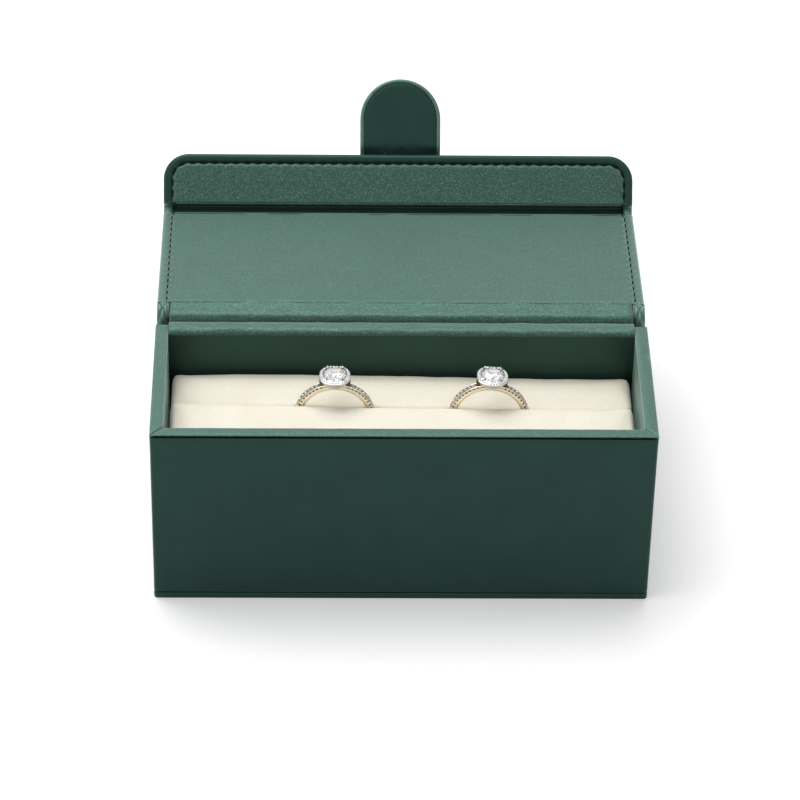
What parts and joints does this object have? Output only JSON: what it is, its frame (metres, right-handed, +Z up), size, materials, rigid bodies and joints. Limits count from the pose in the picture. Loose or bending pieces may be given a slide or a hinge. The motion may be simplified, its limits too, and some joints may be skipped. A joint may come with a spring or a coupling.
{
  "type": "ring box",
  "caption": "Oblong leather-covered ring box with a velvet slot cushion and a book-style lid that folds over the front and ends in a rounded pull tab.",
  "frame": {"origin": "middle of the box's footprint, on the surface it stands on", "axes": "+X to the right along the front, +Y from the front to the hinge, +Z up"},
  "size_m": [0.13, 0.1292, 0.0791],
  "materials": {
    "outer_leather": "smooth dark green imitation leather, satin",
    "lining_leather": "fine grained green imitation leather with a pearl shimmer",
    "greyboard": "matte grey bookbinder's board",
    "velvet": "short pile cream velvet",
    "foam": "matte open foam",
    "magnet": "nickel plated",
    "gold": "polished pale gold",
    "white_metal": "polished white gold",
    "gemstone": "faceted clear stone"
  },
  "bodies": {
    "box": {"base_board": "greyboard", "wall_board_front": "greyboard", "wall_board_back": "greyboard", "wall_board_left": "greyboard", "wall_board_right": "greyboard", "floor_board": "greyboard", "insert_card": "greyboard", "base_cover": "outer_leather", "outer_wrap": "outer_leather", "back_cover": "outer_leather", "rim_front": "outer_leather", "rim_back": "outer_leather", "rim_left": "outer_leather", "rim_right": "outer_leather", "lining_floor": "lining_leather", "lining_front": "lining_leather", "lining_back": "lining_leather", "lining_left": "lining_leather", "lining_right": "lining_leather", "hinge_liner": "lining_leather", "foam_block": "foam", "cushion_front": "velvet", "cushion_back": "velvet", "wall_magnets": "magnet", "ring_band_left": "gold", "ring_head_left": "white_metal", "centre_stone_left": "gemstone", "halo_stones_left": "gemstone", "shoulder_stones_left": "gemstone", "ring_band_right": "gold", "ring_head_right": "white_metal", "centre_stone_right": "gemstone", "halo_stones_right": "gemstone", "shoulder_stones_right": "gemstone"},
    "spine": {"spine_leather": "outer_leather", "spine_backing": "lining_leather"},
    "lid": {"lid_cover": "outer_leather", "lid_board": "greyboard", "lid_lining": "lining_leather", "fold_cover": "outer_leather", "fold_lining": "lining_leather"},
    "flap": {"flap_cover": "outer_leather", "flap_board": "greyboard", "flap_lining": "lining_leather", "flap_magnets": "magnet", "tab_shell": "outer_leather", "tab_board": "greyboard", "tab_facing": "lining_leather"}
  },
  "joints": [
    {"name": "spine_hinge", "type": "hinge", "parent": "box", "child": "spine", "pos_m": [0, 0.0239, 0.04935], "axis": [1, 0, 0], "range_deg": [0, 67.8]},
    {"name": "lid_hinge", "type": "hinge", "parent": "spine", "child": "lid", "pos_m": [0, 0.03195, 0.05264], "axis": [1, 0, 0], "range_deg": [0, 117.2], "deforming": ["hinge_liner"]},
    {"name": "flap_fold", "type": "hinge", "parent": "lid", "child": "flap", "pos_m": [0, 0.08241, 0.04822], "axis": [1, 0, 0], "range_deg": [-60, 30], "deforming": ["fold_cover", "fold_lining"]}
  ]
}
